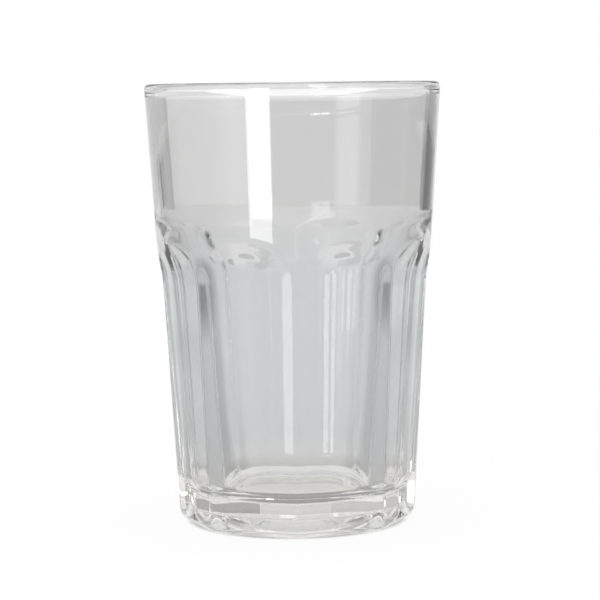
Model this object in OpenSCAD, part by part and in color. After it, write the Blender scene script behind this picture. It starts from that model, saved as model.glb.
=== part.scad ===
// Pressed-glass tumbler: eight flat panels that run out in arches under a smooth round band.
// One piece of glass, standing on z = 0, with the axis of the glass on Z.

/* [Overall size] */
// Height from the standing ring to the rim
height = 130; // [115:1:150]
// Outside diameter of the band, carried up to the rim
rim_d = 87.5; // [82:0.5:96]
// Diameter across the ridges, carried down to the foot
foot_d = 70.6; // [70:0.2:76]

/* [Wall] */
// Wall thickness of the smooth band
band_wall = 2.9; // [2.4:0.1:4]
// How much the rounded lip is thicker than the band, as a low bead inside
bead = 0.4; // [0.2:0.1:0.8]
// Wall thickness at the middle of a panel, at the top of its flat
panel_wall = 2.8; // [2.4:0.1:4]
// Glass between the standing plane and the floor
base_thickness = 9; // [7:0.5:16]
// Wall thickness at the middle of a panel, down at the floor
floor_wall = 6; // [4:0.5:9]
// Radius between the floor and the wall
floor_round = 6; // [4:0.5:10]

/* [Panels] */
// Panels round the glass
panel_count = 8; // [7:1:10]
// Height at which a panel stops being flat and runs out
flat_top = 70.5; // [55:0.5:80]
// Radius of the run-out, which draws the arch on the band
runout_radius = 30; // [24:1:45]
// How far the ridges lie inside the line of the band at the top of the flats
ridge_step = 0.7; // [0.4:0.1:1.2]
// How much is blunted off the sharp ridge between two panels
ridge_blunt = 0.3; // [0.1:0.05:0.5]

/* [Foot] */
// Radius of the bottom edge
foot_round = 2.5; // [1:0.25:4]
// Radius of the hollow under the base, at the standing ring
hollow_radius = 27.5; // [20:0.5:28]
// Depth of the hollow
hollow_depth = 5; // [1:0.5:6]
// How far the side of the hollow leans in
hollow_lean = 5; // [1:0.5:6]

/* [Hidden] */
$fn = 128;

rim_r = rim_d / 2;
foot_r = foot_d / 2;
panel_angle = 360 / panel_count;

// The ridges step out to the band over this height, centred a little above the flats
shoulder_low = flat_top - 3;
shoulder_high = flat_top + 9;
shoulder_round = 30;

// The inside steps in below the arches, so that the panels keep their wall
inner_step_low = flat_top + 3;
inner_step_high = flat_top + 20;
inner_step_round = 25;

// Largest turn of the outline between two points of an arc
arc_step = 6;
// Overlap that lets a cut pass clear through a face
spill = 2;

function band_r(z) = foot_r + (rim_r - foot_r) * z / height;
function ridge_r(z) = band_r(z) - ridge_step * z / shoulder_low;
function panel_r(z) = (ridge_r(z) + ridge_blunt) * cos(panel_angle / 2);
panel_tilt = atan(panel_r(1) - panel_r(0));

function unit(v) = v / norm(v);

// Arc of radius r that rounds the corner b of the path from a over b to c
function corner_arc(a, b, c, r) =
    let (u = unit(a - b), v = unit(c - b))
    let (half = acos(u * v) / 2)
    let (centre = b + unit(u + v) * r / sin(half))
    let (first = b + u * r / tan(half) - centre)
    let (last = b + v * r / tan(half) - centre)
    let (start = atan2(first.y, first.x))
    let (sweep = sign(cross(first, last)) * (180 - 2 * half))
    let (steps = max(2, ceil(abs(sweep) / arc_step)))
    [for (i = [0:steps]) centre + r * [cos(start + sweep * i / steps), sin(start + sweep * i / steps)]];

// Outline whose corners are given as [x, y, radius], with each corner rounded by its own radius
function rounded(corners) =
    let (n = len(corners))
    let (at = [for (c = corners) [c.x, c.y]])
    [for (i = [0:n - 1]) each
        corners[i].z == 0 ? [at[i]] : corner_arc(at[(i + n - 1) % n], at[i], at[(i + 1) % n], corners[i].z)];

// Half section of the glass before the panels are pressed in: underside, outside, lip, inside, floor
module wall_section() {
    lip_wall = band_wall + bead;
    lip = lip_wall * 0.49;
    bead_top = lip + 0.4;
    bead_foot = bead_top + 1.5;
    polygon(rounded([
        [0, hollow_depth, 0],
        [hollow_radius - hollow_lean, hollow_depth, 2],
        [hollow_radius, 0, 0.8],
        [foot_r, 0, foot_round],
        [ridge_r(shoulder_low), shoulder_low, shoulder_round],
        [band_r(shoulder_high), shoulder_high, shoulder_round],
        [rim_r, height, lip],
        [rim_r - lip_wall, height, lip],
        [rim_r - lip_wall, height - bead_top, 2],
        [band_r(height - bead_foot) - band_wall, height - bead_foot, 3],
        [band_r(inner_step_high) - band_wall, inner_step_high, inner_step_round],
        [panel_r(inner_step_low) - panel_wall, inner_step_low, inner_step_round],
        [panel_r(base_thickness) - floor_wall, base_thickness, floor_round],
        [0, base_thickness, 0]
    ]));
}

// Section of what one panel takes away, with the panel's face on x = 0 and its foot on y = 0
module panel_section() {
    depth = rim_r - panel_r(0);
    translate([0, -spill])
        square([depth, flat_top + spill]);
    intersection() {
        translate([runout_radius, flat_top])
            circle(r = runout_radius);
        translate([-spill, flat_top])
            square([depth + spill, runout_radius]);
    }
}

// Section of what rounds the bottom edge of one panel, in the plane of the axis
module panel_foot_section() {
    centre = [panel_r(foot_round) - foot_round / cos(panel_tilt), foot_round];
    out = [cos(panel_tilt), -sin(panel_tilt)];
    difference() {
        polygon([
            [centre.x, -spill],
            centre,
            centre + out * (foot_round + spill),
            [foot_r + spill, -spill]
        ]);
        translate(centre)
            circle(r = foot_round);
    }
}

// What one panel takes away from the round body, on the side of +X
module panel_cut() {
    rotate([90, 0, 0])
        linear_extrude(height = 2 * rim_r, center = true) {
            translate([panel_r(0), 0])
                rotate(-panel_tilt)
                    panel_section();
            panel_foot_section();
        }
}

module tumbler() {
    color([0.86, 0.89, 0.90, 0.45])
        difference() {
            rotate_extrude()
                wall_section();
            for (i = [0:panel_count - 1])
                rotate([0, 0, (i + 0.5) * panel_angle])
                    panel_cut();
        }
}

tumbler();
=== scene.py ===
# %% [markdown]
# # A pressed tumbler with arched panels
# The object is one piece of clear glass: a thick foot, eight flat panels that run out in arches, a smooth
# band above them and a rounded lip. The imported model is loaded first, because every size below has to
# agree with it.

# %% Load the frame
import math
import bmesh
import bpy
from mathutils import Matrix, Vector


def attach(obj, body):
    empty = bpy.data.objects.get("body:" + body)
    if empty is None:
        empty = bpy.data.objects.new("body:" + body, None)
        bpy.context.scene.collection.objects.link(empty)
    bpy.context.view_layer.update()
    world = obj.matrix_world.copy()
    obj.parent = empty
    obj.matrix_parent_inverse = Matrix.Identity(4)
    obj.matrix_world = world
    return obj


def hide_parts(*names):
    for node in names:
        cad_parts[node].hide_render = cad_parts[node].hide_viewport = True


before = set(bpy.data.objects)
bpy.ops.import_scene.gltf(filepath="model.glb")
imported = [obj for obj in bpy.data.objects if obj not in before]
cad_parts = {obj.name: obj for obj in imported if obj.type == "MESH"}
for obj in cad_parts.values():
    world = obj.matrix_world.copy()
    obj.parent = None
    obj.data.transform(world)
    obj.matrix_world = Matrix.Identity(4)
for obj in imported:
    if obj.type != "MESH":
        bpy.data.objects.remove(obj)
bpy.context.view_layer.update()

MM = 0.001


# %% [markdown]
# ## Sizes
# A pressed glass follows a few numbers: two cones (the band and the ridge line), one tilted plane per panel,
# and a plunger that shapes the inside. They could be read off a mesh, but then nothing could be changed, so
# they are written down once, in millimetres, and everything else is worked out from them.

# %% Sizes of the glass, in millimetres
HEIGHT = 130.0
RIM_R = 43.75
FOOT_R = 35.3
BAND_WALL = 2.9
BEAD = 0.4
PANEL_WALL = 2.8
FLOOR_WALL = 6.0
FLOOR_ROUND = 6.0
BASE = 9.0
FOOT_ROUND = 2.5
HOLLOW_R = 27.5
HOLLOW_DEPTH = 5.0
HOLLOW_LEAN = 5.0
print("glass:", HEIGHT, "mm tall,", 2 * RIM_R, "mm across the rim,", BASE, "mm of base")

# %% Sizes of the panels, in millimetres
PANELS = 8
FLAT_TOP = 70.5
RUNOUT_R = 30.0
RIDGE_STEP = 0.7
RIDGE_BLUNT = 0.32
SHOULDER_LOW = FLAT_TOP - 3.0

half_panel = math.pi / PANELS
band_slope = (RIM_R - FOOT_R) / HEIGHT
ridge_slope = band_slope - RIDGE_STEP / SHOULDER_LOW
panel_foot = (FOOT_R + RIDGE_BLUNT) * math.cos(half_panel)
panel_slope = ridge_slope * math.cos(half_panel)


def band_r(z):
    """Radius of the smooth band, carried down to the foot."""
    return FOOT_R + band_slope * z


def panel_r(z):
    """Distance of a panel's face from the axis."""
    return panel_foot + panel_slope * z


print("across the panels at the foot:", round(2 * panel_r(0), 1), "mm, across the ridges:", 2 * FOOT_R, "mm")

# %% [markdown]
# ## The half-section
# Cut a tumbler in half and you see one outline: the hollow under the base, the standing ring, the outside,
# the lip, the inside and the floor. The lip is a little thicker than the band, with a low bead inside, which
# fire-polishing leaves. The outline could be a Bezier curve drawn by eye. Here it is a row of points, because
# each corner has a known radius. Every point also says how much it feels the panels: 1 on the outside, 0
# inside and underneath, where the glass is round.

# %% Helpers for the outline
def rounded(before, corner, after, radius, steps):
    """Points of the arc that rounds a corner of a path."""
    a, b, c = Vector(before), Vector(corner), Vector(after)
    to_a = (a - b).normalized()
    to_c = (c - b).normalized()
    half = to_a.angle(to_c) / 2
    centre = b + (to_a + to_c).normalized() * (radius / math.sin(half))
    first = b + to_a * (radius / math.tan(half)) - centre
    last = b + to_c * (radius / math.tan(half)) - centre
    start = math.atan2(first.y, first.x)
    side = 1 if first.x * last.y - first.y * last.x > 0 else -1
    sweep = side * (math.pi - 2 * half)
    turns = [start + sweep * i / steps for i in range(steps + 1)]
    return [(centre.x + radius * math.cos(t), centre.y + radius * math.sin(t)) for t in turns]


def between(a, b, steps):
    """Points on a straight stretch, without its two ends."""
    return [(a[0] + (b[0] - a[0]) * i / steps, a[1] + (b[1] - a[1]) * i / steps) for i in range(1, steps)]


def row_heights(first, step, how_many):
    """Heights of evenly spaced rows."""
    return [first + step * i for i in range(how_many)]


# %% Underside, standing ring and bottom edge
HOLLOW_ROUND = 2.0
RING_ROUND = 0.8
FOOT_STEPS = 10
hollow_middle = (0.0, HOLLOW_DEPTH)
hollow_edge = (HOLLOW_R - HOLLOW_LEAN, HOLLOW_DEPTH)
ring_edge = (HOLLOW_R, 0.0)
foot_corner = (FOOT_R, 0.0)
ring_outer = FOOT_R - FOOT_ROUND
underside = [hollow_middle, (hollow_edge[0] / 2, HOLLOW_DEPTH)]
underside += rounded(hollow_middle, hollow_edge, ring_edge, HOLLOW_ROUND, 6)
underside += rounded(hollow_edge, ring_edge, foot_corner, RING_ROUND, 4)
ring = between(underside[-1], (ring_outer, 0.0), 4)
foot_turns = [math.pi / 2 * i / FOOT_STEPS for i in range(FOOT_STEPS + 1)]
foot = [(ring_outer + FOOT_ROUND * math.sin(t), FOOT_ROUND * (1 - math.cos(t))) for t in foot_turns]
print("standing ring from", round(underside[-1][0], 1), "to", round(ring_outer, 1), "mm")

# %% Outside and lip, with the closest rows where the arches run out
LIP_SHARE = 0.49
lip_wall = BAND_WALL + BEAD
lip_r = lip_wall * LIP_SHARE
flat_rows = row_heights(FOOT_ROUND + 1.0, 4.0, 16)
arch_rows = row_heights(SHOULDER_LOW, 0.5, 45)
band_rows = row_heights(96.0, 5.0, 7)
wall = [(band_r(z), z) for z in flat_rows + arch_rows + band_rows]
on_band = (band_r(100.0), 100.0)
rim_out = (RIM_R, HEIGHT)
rim_in = (RIM_R - lip_wall, HEIGHT)
lip = rounded(on_band, rim_out, rim_in, lip_r, 9)
print("outside:", len(wall), "rows,", len(arch_rows), "of them in the arches")
print("lip:", round(lip_wall, 1), "mm thick")

# %% Inside: bead, step below the arches, wall and floor
BEAD_TOP_ROUND = 2.0
BEAD_FOOT_ROUND = 3.0
STEP_ROUND = 25.0
STEP_HIGH = FLAT_TOP + 20.0
STEP_LOW = FLAT_TOP + 3.0
BEAD_STRAIGHT = 0.4
BEAD_RUNOUT = 1.5
bead_top = HEIGHT - lip_r - BEAD_STRAIGHT
bead_foot = bead_top - BEAD_RUNOUT
bead_high = (RIM_R - lip_wall, bead_top)
bead_low = (band_r(bead_foot) - BAND_WALL, bead_foot)
step_top = (band_r(STEP_HIGH) - BAND_WALL, STEP_HIGH)
step_foot = (panel_r(STEP_LOW) - PANEL_WALL, STEP_LOW)
floor_corner = (panel_r(BASE) - FLOOR_WALL, BASE)
floor_middle = (0.0, BASE)
inside = rounded(rim_out, rim_in, bead_high, lip_r, 9)[1:]
inside += rounded(rim_in, bead_high, bead_low, BEAD_TOP_ROUND, 4)
inside += rounded(bead_high, bead_low, step_top, BEAD_FOOT_ROUND, 4)
inside += between(inside[-1], step_top, 8)[:-1]
inside += rounded(bead_low, step_top, step_foot, STEP_ROUND, 12)
inside += rounded(step_top, step_foot, floor_corner, STEP_ROUND, 12)
inside += between(inside[-1], floor_corner, 12)[:-1]
inside += rounded(step_foot, floor_corner, floor_middle, FLOOR_ROUND, 16)
inside += between(inside[-1], floor_middle, 4) + [floor_middle]
print("inside:", len(inside), "points, floor", round(2 * floor_corner[0], 1), "mm across before its rounding")

# %% The whole outline, as a mesh that a node tree can read
outline = [(r, z, 0.0) for r, z in underside]
outline += [(r, z, (i + 1) / (len(ring) + 1)) for i, (r, z) in enumerate(ring)]
outline += [(r, z, 1.0) for r, z in foot + wall + lip]
outline += [(r, z, 0.0) for r, z in inside]
section = bpy.data.meshes.new("half_section")
section.from_pydata([(r * MM, 0.0, z * MM) for r, z, _ in outline],
                    [(i, i + 1) for i in range(len(outline) - 1)], [])
feel = section.attributes.new("panelled", "FLOAT", "POINT")
feel.data.foreach_set("value", [share for _, _, share in outline])
print("half-section holds", len(section.vertices), "vertices and", len(section.edges), "edges")

# %% [markdown]
# ## The glass by rule, in Geometry Nodes
# Spinning the outline would give a round glass. The mould adds eight planes, and where a plane meets its
# neighbour or the band the hot glass rounds the edge. So the tree wraps a grid round the axis and moves every
# point to the *soft minimum* of four radii: the panel it faces, the panels beside it, and the band. A
# plain minimum gives knife edges; the soft one melts them as fire-polishing does. A boolean would cut
# the same planes, but it leaves long thin faces that spoil the refraction.

# %% Small helpers for writing a tree
def wire(tree, value, socket):
    """Links an output to an input, or sets a number on it."""
    if isinstance(value, bpy.types.NodeSocket):
        tree.links.new(value, socket)
    else:
        socket.default_value = value


def math_node(tree, kind, operation, values):
    """One node of a kind that works with numbers; returns its result."""
    node = tree.nodes.new(kind)
    node.operation = operation
    for value, socket in zip(values, node.inputs):
        wire(tree, value, socket)
    return node.outputs[0]


def calc(tree, operation, *values):
    """One Math node."""
    return math_node(tree, "ShaderNodeMath", operation, values)


def count(tree, operation, *values):
    """One Integer Math node."""
    return math_node(tree, "FunctionNodeIntegerMath", operation, values)


def hypotenuse(tree, x, y):
    """Length of the long side over two short ones."""
    return calc(tree, "SQRT", calc(tree, "ADD", calc(tree, "POWER", x, 2.0), calc(tree, "POWER", y, 2.0)))


# %% The tree and its named inputs
tree = bpy.data.node_groups.new("tumbler_by_rule", "GeometryNodeTree")
given = tree.nodes.new("NodeGroupInput")
result = tree.nodes.new("NodeGroupOutput")
INPUT_KINDS = (
    ("Section", "NodeSocketGeometry"),
    ("Columns", "NodeSocketInt"),
    ("Panels", "NodeSocketInt"),
    ("Crowding", "NodeSocketFloat"),
    ("Band Foot", "NodeSocketFloat"),
    ("Band Slope", "NodeSocketFloat"),
    ("Panel Foot", "NodeSocketFloat"),
    ("Panel Slope", "NodeSocketFloat"),
    ("Flat Top", "NodeSocketFloat"),
    ("Run-out Radius", "NodeSocketFloat"),
    ("Softness", "NodeSocketFloat"),
    ("Ripple", "NodeSocketFloat"),
    ("Glass", "NodeSocketMaterial"),
)
sockets = {}
for label, kind in INPUT_KINDS:
    sockets[label] = tree.interface.new_socket(label, in_out="INPUT", socket_type=kind).identifier
tree.interface.new_socket("Glass Body", in_out="OUTPUT", socket_type="NodeSocketGeometry")
size = {label: given.outputs[label] for label in sockets}
print("tree inputs:", ", ".join(sockets))

# %% A grid with one row for each outline point and one column for each angle
rows_node = tree.nodes.new("GeometryNodeAttributeDomainSize")
tree.links.new(size["Section"], rows_node.inputs["Geometry"])
rows = rows_node.outputs["Point Count"]
grid = tree.nodes.new("GeometryNodeMeshGrid")
wire(tree, count(tree, "ADD", size["Columns"], 1), grid.inputs["Vertices X"])
wire(tree, rows, grid.inputs["Vertices Y"])
index = tree.nodes.new("GeometryNodeInputIndex").outputs[0]
column = count(tree, "DIVIDE_FLOOR", index, rows)
row = count(tree, "MODULO", index, rows)
print("the grid will have", len(outline), "rows")

# %% What each grid point reads from the outline: its radius, its height and how it feels the panels
def read_section(data_type, field):
    """Reads a value of the outline at this point's row."""
    node = tree.nodes.new("GeometryNodeSampleIndex")
    node.data_type = data_type
    tree.links.new(size["Section"], node.inputs["Geometry"])
    tree.links.new(field, node.inputs["Value"])
    tree.links.new(row, node.inputs["Index"])
    return node.outputs["Value"]


place = read_section("FLOAT_VECTOR", tree.nodes.new("GeometryNodeInputPosition").outputs[0])
feel_node = tree.nodes.new("GeometryNodeInputNamedAttribute")
feel_node.inputs["Name"].default_value = "panelled"
panelled = read_section("FLOAT", feel_node.outputs["Attribute"])
split = tree.nodes.new("ShaderNodeSeparateXYZ")
tree.links.new(place, split.inputs[0])
round_r = split.outputs["X"]
z = split.outputs["Z"]
print("each grid point reads", round_r.name, "as its radius and", z.name, "as its height")

# %% Angles, crowded near the ridges, where the glass bends most
even = calc(tree, "MULTIPLY", column, calc(tree, "DIVIDE", 2 * math.pi, size["Columns"]))
wave = calc(tree, "SINE", calc(tree, "MULTIPLY", even, size["Panels"]))
pull = calc(tree, "DIVIDE", calc(tree, "MULTIPLY", wave, size["Crowding"]), size["Panels"])
angle = calc(tree, "SUBTRACT", even, pull)
pitch = calc(tree, "DIVIDE", 2 * math.pi, size["Panels"])
in_panel = calc(tree, "FLOORED_MODULO", angle, pitch)
from_middle = calc(tree, "SUBTRACT", in_panel, calc(tree, "DIVIDE", pitch, 2.0))
print("one panel takes", round(math.degrees(2 * half_panel)), "degrees")

# %% The panel's face: a tilted plane that runs out on an arc above its flat
ARC_END = 0.98
climb = calc(tree, "MAXIMUM", calc(tree, "SUBTRACT", z, size["Flat Top"]), 0.0)
climb = calc(tree, "MINIMUM", climb, calc(tree, "MULTIPLY", size["Run-out Radius"], ARC_END))
whole_square = calc(tree, "POWER", size["Run-out Radius"], 2.0)
rest_square = calc(tree, "SUBTRACT", whole_square, calc(tree, "POWER", climb, 2.0))
lift = calc(tree, "SUBTRACT", size["Run-out Radius"], calc(tree, "SQRT", rest_square))
flat = calc(tree, "ADD", size["Panel Foot"], calc(tree, "MULTIPLY", size["Panel Slope"], z))
face = calc(tree, "ADD", flat, lift)
band = calc(tree, "ADD", size["Band Foot"], calc(tree, "MULTIPLY", size["Band Slope"], z))
tilt_of_a_panel = math.degrees(math.atan(panel_slope))
print("a panel tilts by", round(tilt_of_a_panel, 2), "degrees and starts to run out at", FLAT_TOP, "mm")

# %% The four radii, and their soft minimum
def seen_at(turn):
    """Radius at which a ray from the axis meets a face that is turned away by this angle."""
    return calc(tree, "DIVIDE", face, calc(tree, "COSINE", turn))


own = seen_at(from_middle)
next_one = seen_at(calc(tree, "SUBTRACT", from_middle, pitch))
one_before = seen_at(calc(tree, "ADD", from_middle, pitch))
hard = calc(tree, "MINIMUM", own, band)
total = 0.0
for radius in (own, next_one, one_before, band):
    gap = calc(tree, "DIVIDE", calc(tree, "SUBTRACT", hard, radius), size["Softness"])
    total = calc(tree, "ADD", total, calc(tree, "EXPONENT", gap))
melt = calc(tree, "MULTIPLY", calc(tree, "LOGARITHM", total, math.e), size["Softness"])
pressed = calc(tree, "SUBTRACT", hard, melt)
scaled = calc(tree, "MULTIPLY", pressed, calc(tree, "DIVIDE", round_r, band))
blend = tree.nodes.new("ShaderNodeMix")
wire(tree, panelled, blend.inputs["Factor"])
wire(tree, round_r, blend.inputs["A"])
wire(tree, scaled, blend.inputs["B"])
smooth_r = blend.outputs["Result"]
print("so far the tree holds", len(tree.nodes), "nodes")

# %% [markdown]
# ### A little life in the surface
# Pressed glass is never optically flat: the mould and the cooling skin leave waves of a few hundredths of a
# millimetre, which make reflections wander. A bump map would fake it on the shading only. A very small
# noise on the radius is real geometry, so refraction wanders as well. It only ever goes inward, and it dies
# away towards the axis.

# %% The ripple
RIPPLE_SCALE = 70.0
CALM_R = 20.0


def at_angle(radius):
    """Point at this column's angle, at a radius from the axis; angle 0 faces the front, -Y."""
    node = tree.nodes.new("ShaderNodeCombineXYZ")
    to_the_front = calc(tree, "MULTIPLY", radius, -1.0)
    wire(tree, calc(tree, "MULTIPLY", radius, calc(tree, "SINE", angle)), node.inputs["X"])
    wire(tree, calc(tree, "MULTIPLY", to_the_front, calc(tree, "COSINE", angle)), node.inputs["Y"])
    wire(tree, z, node.inputs["Z"])
    return node.outputs[0]


wander = tree.nodes.new("ShaderNodeTexNoise")
wander.inputs["Scale"].default_value = RIPPLE_SCALE
wander.inputs["Detail"].default_value = 1.0
tree.links.new(at_angle(smooth_r), wander.inputs["Vector"])
near_axis = calc(tree, "MINIMUM", calc(tree, "DIVIDE", smooth_r, CALM_R * MM), 1.0)
dip = calc(tree, "MULTIPLY", calc(tree, "MULTIPLY", wander.outputs["Fac"], size["Ripple"]), near_axis)
final_r = calc(tree, "SUBTRACT", smooth_r, dip)
print("a wave of the ripple is about", round(1 / RIPPLE_SCALE / MM, 1), "mm long")

# %% Move the grid, weld its seam and poles, and finish
WELD_REACH = 0.002
move = tree.nodes.new("GeometryNodeSetPosition")
tree.links.new(grid.outputs["Mesh"], move.inputs["Geometry"])
tree.links.new(at_angle(final_r), move.inputs["Position"])
weld = tree.nodes.new("GeometryNodeMergeByDistance")
weld.inputs["Distance"].default_value = WELD_REACH * MM
soft = tree.nodes.new("GeometryNodeSetShadeSmooth")
real = tree.nodes.new("GeometryNodeRealizeInstances")
coat = tree.nodes.new("GeometryNodeSetMaterial")
tree.links.new(size["Glass"], coat.inputs["Material"])
chain = (move, weld, soft, real, coat)
for first, second in zip(chain, chain[1:]):
    tree.links.new(first.outputs[0], second.inputs[0])
tree.links.new(coat.outputs[0], result.inputs[0])
print("tree holds", len(tree.nodes), "nodes")

# %% [markdown]
# ## The finish: clear soda-lime glass
# Pressed glass is clear through and through, with a bright fire-polished skin. It could be a Glass shader.
# Here it is the Principled shader with full transmission, because one shader then carries clearness, tint
# and roughness.

# %% Glass material
def plain_material(name):
    """A new material with its Principled shader."""
    made = bpy.data.materials.new(name)
    made.use_nodes = True
    return made, made.node_tree, made.node_tree.nodes["Principled BSDF"]


def object_place(tree):
    """Object coordinates as three numbers; returns the whole point and its X, Y and Z."""
    where = tree.nodes.new("ShaderNodeTexCoord").outputs["Object"]
    parts = tree.nodes.new("ShaderNodeSeparateXYZ")
    tree.links.new(where, parts.inputs[0])
    return where, parts.outputs["X"], parts.outputs["Y"], parts.outputs["Z"]


GLASS_IOR = 1.52
glass, nodes, shader = plain_material("clear_pressed_glass")
shader.inputs["Transmission Weight"].default_value = 1.0
shader.inputs["IOR"].default_value = GLASS_IOR
on_glass, _, _, up = object_place(nodes)
print("glass refracts with an index of", GLASS_IOR)

# %% [markdown]
# ### The tint: painted shade, and a painted highlight on the lip
# The glass looks pale grey, because it shows a softer room than the white around it. That grey is painted
# shade: a tint on each surface that light passes gives it from every side. It changes with height, as painted
# light for what each zone looks at: the band is neutral, the panels are a trace cooler, and the thick base is
# paler and warmer. The lip has no tint, a painted highlight that keeps it white. A volume would tint by
# thickness instead, but it takes longer to render.

# %% Tint by height: painted shade, with a painted highlight on the lip
BASE_PAINTED_SHADE = (0.905, 0.895, 0.872)
PANEL_PAINTED_SHADE = (0.805, 0.815, 0.822)
BAND_PAINTED_SHADE = (0.836, 0.832, 0.832)
LIP_PAINTED_HIGHLIGHT = (1, 1, 1)
PAINTED_LIGHT_STOPS = (
    (0.0, BASE_PAINTED_SHADE), (0.085, BASE_PAINTED_SHADE),
    (0.16, PANEL_PAINTED_SHADE), (0.58, PANEL_PAINTED_SHADE),
    (0.66, BAND_PAINTED_SHADE), (0.965, BAND_PAINTED_SHADE),
    (0.975, LIP_PAINTED_HIGHLIGHT), (1.0, LIP_PAINTED_HIGHLIGHT),
)


def colour_ramp(tree, share, stops):
    """A colour that follows a share from 0 to 1 through its stops; returns the colour."""
    node = tree.nodes.new("ShaderNodeValToRGB")
    elements = node.color_ramp.elements
    elements[0].position = stops[0][0]
    elements[1].position = stops[-1][0]
    for stop, _ in stops[1:-1]:
        elements.new(stop)
    for element, (_, colour) in zip(elements, stops):
        element.color = (*colour, 1)
    tree.links.new(share, node.inputs["Fac"])
    return node.outputs["Color"]


# the ramp paints shade by height and leaves the lip white as a painted highlight
height_share = calc(nodes, "DIVIDE", up, HEIGHT * MM)
nodes.links.new(colour_ramp(nodes, height_share, PAINTED_LIGHT_STOPS), shader.inputs["Base Color"])
print("tint changes at", [round(stop * HEIGHT) for stop, _ in PAINTED_LIGHT_STOPS], "mm")

# %% [markdown]
# ### Scuffs and haze
# Two things keep the glass from looking like a perfect crystal: the standing ring is scuffed by every table
# it has stood on, and washing leaves the faintest haze all over. Both are roughness, so one fine noise serves
# for both. It is strong within a millimetre of the table and almost nothing elsewhere.

# %% Roughness
GRIT_SCALE = 900.0
SCUFF_HEIGHT = 0.9
SCUFF_ROUGHNESS = 0.3
HAZE_ROUGHNESS = 0.012


def between_limits(tree, value, at_zero, at_one):
    """A factor that goes from 0 to 1 between two values and stays there."""
    node = tree.nodes.new("ShaderNodeMapRange")
    node.inputs["From Min"].default_value = at_zero
    node.inputs["From Max"].default_value = at_one
    tree.links.new(value, node.inputs["Value"])
    return node.outputs["Result"]


grit = nodes.nodes.new("ShaderNodeTexNoise")
grit.inputs["Scale"].default_value = GRIT_SCALE
grit.inputs["Detail"].default_value = 4.0
nodes.links.new(on_glass, grit.inputs["Vector"])
on_the_ring = between_limits(nodes, up, SCUFF_HEIGHT * MM, 0.0)
scuff = calc(nodes, "MULTIPLY", calc(nodes, "MULTIPLY", grit.outputs["Fac"], on_the_ring), SCUFF_ROUGHNESS)
haze = calc(nodes, "MULTIPLY", grit.outputs["Fac"], HAZE_ROUGHNESS)
nodes.links.new(calc(nodes, "ADD", scuff, haze), shader.inputs["Roughness"])
print("glass material holds", len(nodes.nodes), "nodes")

# %% [markdown]
# ## From tree to piece
# The tree runs as a modifier on an object that holds the half-section. Its inputs are set by identifier before
# it is first evaluated. Then the evaluated result becomes a plain mesh, the modifier goes, and the faces are
# turned outward, so that the refraction knows which side is glass.

# %% Run the tree
COLUMNS = 448
CROWDING = 0.72
EDGE_SOFTNESS = 0.45
RIPPLE = 0.04
INPUT_VALUES = {
    "Columns": COLUMNS,
    "Panels": PANELS,
    "Crowding": CROWDING,
    "Band Foot": FOOT_R * MM,
    "Band Slope": band_slope,
    "Panel Foot": panel_foot * MM,
    "Panel Slope": panel_slope,
    "Flat Top": FLAT_TOP * MM,
    "Run-out Radius": RUNOUT_R * MM,
    "Softness": EDGE_SOFTNESS * MM,
    "Ripple": RIPPLE * MM,
    "Glass": glass,
}
tumbler = bpy.data.objects.new("pressed_tumbler", section)
bpy.context.scene.collection.objects.link(tumbler)
rule = tumbler.modifiers.new("rule", "NODES")
rule.node_group = tree
for label, value in INPUT_VALUES.items():
    rule[sockets[label]] = value
evaluated = tumbler.evaluated_get(bpy.context.evaluated_depsgraph_get())
body = bpy.data.meshes.new_from_object(evaluated)
tumbler.modifiers.remove(rule)
body.name = "pressed_tumbler"
tumbler.data = body
print("the tree made", len(body.vertices), "vertices")

# %% Turn the faces outward and check that the skin is closed
mesh = bmesh.new()
mesh.from_mesh(body)
bmesh.ops.recalc_face_normals(mesh, faces=mesh.faces)
open_edges = sum(1 for e in mesh.edges if not e.is_manifold)
volume = mesh.calc_volume(signed=True)
mesh.to_mesh(body)
triangles = sum(len(f.verts) - 2 for f in mesh.faces)
mesh.free()
print("glass:", triangles, "triangles,", open_edges, "open edges,", round(volume * 1e6, 1), "cm3")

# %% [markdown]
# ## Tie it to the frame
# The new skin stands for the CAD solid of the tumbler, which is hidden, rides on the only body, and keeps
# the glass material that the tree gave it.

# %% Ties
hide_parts("tumbler")
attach(tumbler, "root")
print(tumbler.name, "stands for the CAD node tumbler")

# %% [markdown]
# ## A studio for glass
# Glass has little colour of its own to show: it shows the room. So the room is built from white surroundings,
# a sheet of white paper as the floor, grey cards that the camera doesn't see, and two lamps. Lamps alone draw
# only highlights; what the glass looks at draws its form. The surroundings have two levels, one for light and
# one for what is seen, so that the light can change while the backdrop stays white. Here both are 1.

# %% White surroundings
LIGHT_LEVEL = 1.0
BACKDROP_LEVEL = 1.0
WHITE = (1, 1, 1, 1)


def white_where_seen(tree, share):
    """A factor that is 'share' for rays from the camera, in reflections and through glass, and 0 for light."""
    path = tree.nodes.new("ShaderNodeLightPath")
    seen = calc(tree, "ADD", path.outputs["Is Camera Ray"], path.outputs["Is Glossy Ray"])
    seen = calc(tree, "ADD", seen, path.outputs["Is Transmission Ray"])
    return calc(tree, "MULTIPLY", calc(tree, "MINIMUM", seen, 1.0), share)


def mix_shaders(tree, share, first, second, output):
    """Puts two shaders on an output, the second one with this share."""
    node = tree.nodes.new("ShaderNodeMixShader")
    tree.links.new(share, node.inputs[0])
    tree.links.new(first.outputs[0], node.inputs[1])
    tree.links.new(second.outputs[0], node.inputs[2])
    tree.links.new(node.outputs[0], tree.nodes[output].inputs["Surface"])


world = bpy.data.worlds.new("studio")
bpy.context.scene.world = world
world.use_nodes = True
sky = world.node_tree
light = sky.nodes["Background"]
backdrop = sky.nodes.new("ShaderNodeBackground")
for background, level in ((light, LIGHT_LEVEL), (backdrop, BACKDROP_LEVEL)):
    background.inputs["Color"].default_value = WHITE
    background.inputs["Strength"].default_value = level
mix_shaders(sky, white_where_seen(sky, 1.0), light, backdrop, "World Output")
print("surroundings:", LIGHT_LEVEL, "as light,", BACKDROP_LEVEL, "where seen")

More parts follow.
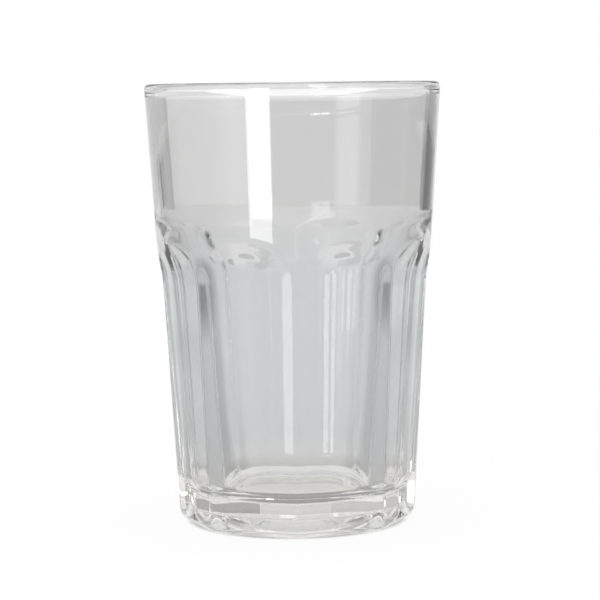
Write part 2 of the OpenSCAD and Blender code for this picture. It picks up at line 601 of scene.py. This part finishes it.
# %% [markdown]
# ### The floor
# The paper has to look white where it is seen, straight or through the glass, and still keep a soft shadow. A
# brighter lamp would light the glass more too. So most of what is seen is a plain white glow, and a small
# share is real shading, which carries the shadow. Under the foot little light gets in, but the glow would hide
# that, so the paper's own colour is darker in a half-moon under the front of the foot.

# %% Helpers for stage pieces
def flat_card(name, corners, material):
    """A flat stage piece from its corners, in metres."""
    made = bpy.data.meshes.new(name)
    made.from_pydata(corners, [], [list(range(len(corners)))])
    made.materials.append(material)
    piece = bpy.data.objects.new(name, made)
    bpy.context.scene.collection.objects.link(piece)
    return piece


def lying(x0, x1, y0, y1, z):
    """Corners of a card that lies level."""
    return [(x0, y0, z), (x1, y0, z), (x1, y1, z), (x0, y1, z)]


def matt(shader):
    """Takes all shine off a Principled shader."""
    shader.inputs["Roughness"].default_value = 1.0
    shader.inputs["Specular IOR Level"].default_value = 0.0


# %% White paper
PAPER_WHITE = 0.97
GLOW_SHARE = 0.92
CONTACT_DEPTH = 0.64
CONTACT_EDGE = (33.5, 30.5)
CONTACT_FRONT = (-2.0, -6.0)
FLOOR_SIZE = 12.0
paper, sheet, paper_shader = plain_material("white_paper")
matt(paper_shader)
glow = sheet.nodes.new("ShaderNodeEmission")
glow.inputs["Strength"].default_value = 1.0
_, paper_x, paper_y, _ = object_place(sheet)
under = between_limits(sheet, hypotenuse(sheet, paper_x, paper_y), CONTACT_EDGE[0] * MM, CONTACT_EDGE[1] * MM)
in_front = between_limits(sheet, paper_y, CONTACT_FRONT[0] * MM, CONTACT_FRONT[1] * MM)
dark_share = calc(sheet, "MULTIPLY", calc(sheet, "MULTIPLY", under, in_front), CONTACT_DEPTH)
shade = calc(sheet, "SUBTRACT", 1.0, dark_share)
sheet.links.new(shade, glow.inputs["Color"])
sheet.links.new(calc(sheet, "MULTIPLY", shade, PAPER_WHITE), paper_shader.inputs["Base Color"])
mix_shaders(sheet, white_where_seen(sheet, GLOW_SHARE), paper_shader, glow, "Material Output")
flat_card("floor", lying(-FLOOR_SIZE, FLOOR_SIZE, -FLOOR_SIZE, FLOOR_SIZE, 0), paper)
print("paper:", 2 * FLOOR_SIZE, "m square,", len(sheet.nodes), "nodes")

# %% [markdown]
# ### Cards that only the glass sees
# Each zone of a glass looks somewhere else. Leaving out one card at a time shows where: the band looks through
# to what stands behind, the panels down to the table, and the inner floor and base also up, to a far sheet and
# a ceiling. A photographer tunes that with sheets of grey card outside the picture, and so does this scene.
# The cards are hidden from the camera, throw no shadow and leave the light on the paper alone. One grey room
# would be simpler, but then every zone would look at the same tone.

# %% Helpers for the cards
def hidden_card(name, corners, grey):
    """A card that shows in the glass, but not to the camera and not as a shadow."""
    material, _, coat = plain_material(name)
    coat.inputs["Base Color"].default_value = (grey, grey, grey, 1)
    matt(coat)
    piece = flat_card(name, corners, material)
    piece.visible_camera = False
    piece.visible_shadow = False
    piece.visible_diffuse = False
    return piece


def standing(x0, x1, y, z0, z1):
    """Corners of a card that stands across the Y direction."""
    return [(x0, y, z0), (x1, y, z0), (x1, y, z1), (x0, y, z1)]


def at_the_side(x, y0, y1, z0, z1):
    """Corners of a card that stands across the X direction."""
    return [(x, y0, z0), (x, y1, z0), (x, y1, z1), (x, y0, z1)]


def upright(a, b, top):
    """Corners of a card that stands between two spots on the floor."""
    return [(*a, 0.0), (*b, 0.0), (*b, top), (*a, top)]


FAN_STEPS = 24


def fan(from_turn, to_turn, near, far, z):
    """Corners of a lying fan round the glass; turn 0 is straight behind it, and degrees grow to the right."""
    sweep = to_turn - from_turn
    turns = [math.radians(from_turn + sweep * i / FAN_STEPS) for i in range(FAN_STEPS + 1)]
    inner = [(near * math.sin(t), near * math.cos(t), z) for t in turns]
    outer = [(far * math.sin(t), far * math.cos(t), z) for t in reversed(turns)]
    return inner + outer


# %% Flats behind and at the sides, seen in the edges of the band and in the base
SIDE_X = 1.3
SIDE_FRONT_Y = -0.6
BACK_Y = 1.0
FLATS_TOP = 0.5
LEFT_END_X = -0.265
RIGHT_END_X = 0.4
hidden_card("flat_left", standing(-SIDE_X, LEFT_END_X, BACK_Y, 0.0, FLATS_TOP), grey=0.61)
hidden_card("flat_right", standing(RIGHT_END_X, SIDE_X, BACK_Y, 0.0, FLATS_TOP), grey=0.43)
hidden_card("side_left", at_the_side(-SIDE_X, SIDE_FRONT_Y, BACK_Y, 0.0, FLATS_TOP), grey=0.72)
hidden_card("side_right", at_the_side(SIDE_X, SIDE_FRONT_Y, BACK_Y, 0.0, FLATS_TOP), grey=0.56)
print("flats stand", BACK_Y, "m behind the glass and", SIDE_X, "m beside it")

# %% Straight behind: pale low strips, seen in the band, and a far sheet, seen in inner floor, base and lip
STRIP_Y = 1.02
STRIP_TOP = 0.122
STRIP_X = (-0.04, 0.1)
FAR_Y = 3.0
FAR_X = (-0.8, 1.2)
FAR_Z = (0.36, 1.6)
hidden_card("back_high", standing(*FAR_X, FAR_Y, *FAR_Z), grey=0.71)
hidden_card("back_low", standing(*STRIP_X, STRIP_Y, 0.0, STRIP_TOP), grey=0.86)
hidden_card("back_right", standing(STRIP_X[1], RIGHT_END_X, STRIP_Y, 0.0, STRIP_TOP), grey=0.78)
print("low strips:", round(STRIP_TOP / MM), "mm high; far sheet:", FAR_Y, "m behind the glass")

# %% The table behind the glass, seen most in the panels: its grey changes softly round the glass
TABLE_GREYS = (
    (-135, 1.0), (-108, 0.6), (-78, 0.6), (-68, 0.55), (-50, 0.55), (-40, 0.63), (-29, 0.78), (-20, 0.91),
    (20, 0.91), (28, 0.8), (36, 0.72), (48, 0.66), (72, 0.62), (108, 0.61), (135, 1.0),
)
TABLE_NEAR = 0.039
TABLE_FAR = 1.4


def grade_by_turn(material, stops):
    """Lets the grey of a lying card change softly with the turn round the glass."""
    tree = material.node_tree
    _, x, y, _ = object_place(tree)
    share = calc(tree, "MULTIPLY_ADD", calc(tree, "ARCTAN2", x, y), 0.5 / math.pi, 0.5)
    greys = colour_ramp(tree, share, [(0.5 + turn / 360, (grey, grey, grey)) for turn, grey in stops])
    tree.links.new(greys, tree.nodes["Principled BSDF"].inputs["Base Color"])


first_turn = TABLE_GREYS[0][0]
last_turn = TABLE_GREYS[-1][0]
table = hidden_card("table_behind", fan(first_turn, last_turn, TABLE_NEAR, TABLE_FAR, MM), grey=0.9)
grade_by_turn(table.data.materials[0], TABLE_GREYS)
print("table: a fan of", last_turn - first_turn, "degrees with", len(TABLE_GREYS), "greys")

# %% Two soft dark patches beside the glass, which draw the small dark windows in the side panels
WINDOW_REACH = (0.08, 0.22)
WINDOW_Y = 0.11
WINDOW_LIFT = 3.0
WINDOW_CORE = 0.4
WINDOWS = (("window_left", -0.27, 0.27, 0.6), ("window_right", 0.275, 0.33, 0.61))


def fade_to_edge(material, middle, dark, pale):
    """Lets a lying card be dark in its middle and fade softly to a paler grey at its edge."""
    tree = material.node_tree
    _, x, y, _ = object_place(tree)
    across = calc(tree, "DIVIDE", calc(tree, "SUBTRACT", x, middle[0]), WINDOW_REACH[0])
    along = calc(tree, "DIVIDE", calc(tree, "SUBTRACT", y, middle[1]), WINDOW_REACH[1])
    fade = between_limits(tree, hypotenuse(tree, across, along), WINDOW_CORE, 1.0)
    grey = calc(tree, "MULTIPLY_ADD", fade, pale - dark, dark)
    tree.links.new(grey, tree.nodes["Principled BSDF"].inputs["Base Color"])


for name, window_x, dark, pale in WINDOWS:
    x_ends = (window_x - WINDOW_REACH[0], window_x + WINDOW_REACH[0])
    y_ends = (WINDOW_Y - WINDOW_REACH[1], WINDOW_Y + WINDOW_REACH[1])
    window = hidden_card(name, lying(*x_ends, *y_ends, WINDOW_LIFT * MM), dark)
    fade_to_edge(window.data.materials[0], (window_x, WINDOW_Y), dark, pale)
print("dark patches", round(2 * WINDOW_REACH[0], 2), "m wide lie beside the glass")

# %% Low dark edges, seen in the outline of the band
hidden_card("low_right", upright((0.30, 0.72), (0.67, 0.523), top=0.07), grey=0.22)
hidden_card("low_left", upright((-0.59, 0.679), (-0.689, 0.579), top=0.04), grey=0.2)
print("two low edges stand behind the glass, right and left")

# %% A ceiling and a painted contact shade before the foot, seen in the base, and the room in front, seen as a reflection
ROOM_REACH = 1.2
CEILING_Z = 1.15
FRONT_Y = -1.3
FRONT_TOP = 0.6
FOOT_TURNS = (95, 265)
FOOT_NEAR = 0.0345
FOOT_FAR = 0.06
FOOT_LIFT = 0.2
hidden_card("ceiling", lying(-SIDE_X, SIDE_X, -ROOM_REACH, ROOM_REACH, CEILING_Z), grey=0.85)
hidden_card("room_in_front", standing(-ROOM_REACH, ROOM_REACH, FRONT_Y, 0.0, FRONT_TOP), grey=0.46)
# a grey card lying before the foot is painted shade: it stands for the contact shade where the foot stands
hidden_card("painted_contact_shade", fan(*FOOT_TURNS, FOOT_NEAR, FOOT_FAR, FOOT_LIFT * MM), grey=0.5)
meshes = [piece for piece in bpy.context.scene.objects if piece.type == "MESH"]
print(sum(1 for piece in meshes if not piece.visible_camera), "meshes are hidden from the camera")

# %% [markdown]
# ## Lamps
# A low square box on the left in front draws the bright stripe down the band, and smaller glints in the panels
# and the base. A window-sized box further out on the left comes back from the far wall as a broad faint stripe
# on the right. Both are weak, because the white surroundings already light the glass. Point lamps would give
# hard dots instead of stripes.

# %% Lamps
def box_light(name, place, width, height, power):
    """A soft box that faces the axis of the glass at its own height; the camera doesn't see it."""
    made = bpy.data.lights.new(name, "AREA")
    made.shape = "RECTANGLE"
    made.size = width
    made.size_y = height
    made.energy = power
    lamp = bpy.data.objects.new(name, made)
    lamp.location = place
    to_axis = Vector((0, 0, place[2])) - Vector(place)
    lamp.rotation_euler = to_axis.to_track_quat("-Z", "Y").to_euler()
    lamp.visible_camera = False
    bpy.context.scene.collection.objects.link(lamp)
    print(name, "stands", round(to_axis.length, 2), "m from the glass, with", power, "W")


box_light("strip_lamp", (-0.1665, -0.3482, 0.06), width=0.12, height=0.12, power=0.26)
box_light("window_lamp", (-1.049, -0.865, 0.18), width=0.56, height=0.3, power=0.8)

# %% [markdown]
# ## Camera
# The camera was found from the outlines of the rim and the foot in the photograph: almost level with the rim,
# with a long lens, and turned by less than a degree. Light crosses many surfaces in a glass, so the number of
# bounces is set high: a path that runs out of bounces ends in black.

# %% Camera
CAMERA_PLACE = (0.0, -0.65807, 0.131563)
LOOK_DOWN = math.radians(5.734)
TURN = -0.01257
FRAME_PIXELS = 600
LENS_PIXELS = 2220.8
SHIFT_PIXELS = 5.3
SENSOR = 36.0
eye = bpy.data.cameras.new("camera")
eye.sensor_width = SENSOR
eye.lens = SENSOR * LENS_PIXELS / FRAME_PIXELS
eye.shift_x = SHIFT_PIXELS / FRAME_PIXELS
camera = bpy.data.objects.new("camera", eye)
tilt = Matrix.Rotation(math.pi / 2 - LOOK_DOWN, 4, "X")
camera.matrix_world = Matrix.Translation(CAMERA_PLACE) @ tilt @ Matrix.Rotation(TURN, 4, "Z")
bpy.context.scene.collection.objects.link(camera)
bpy.context.scene.camera = camera
print("camera", round(-CAMERA_PLACE[1], 2), "m in front, lens", round(eye.lens, 1), "mm")

# %% How the picture is shown, and how often light may cross the glass
GLASS_BOUNCES = 24
MIRROR_BOUNCES = 16
bpy.context.scene.view_settings.view_transform = "Standard"
bpy.context.scene.cycles.max_bounces = GLASS_BOUNCES
bpy.context.scene.cycles.transmission_bounces = GLASS_BOUNCES
bpy.context.scene.cycles.glossy_bounces = MIRROR_BOUNCES
print("light may cross the glass", GLASS_BOUNCES, "times")
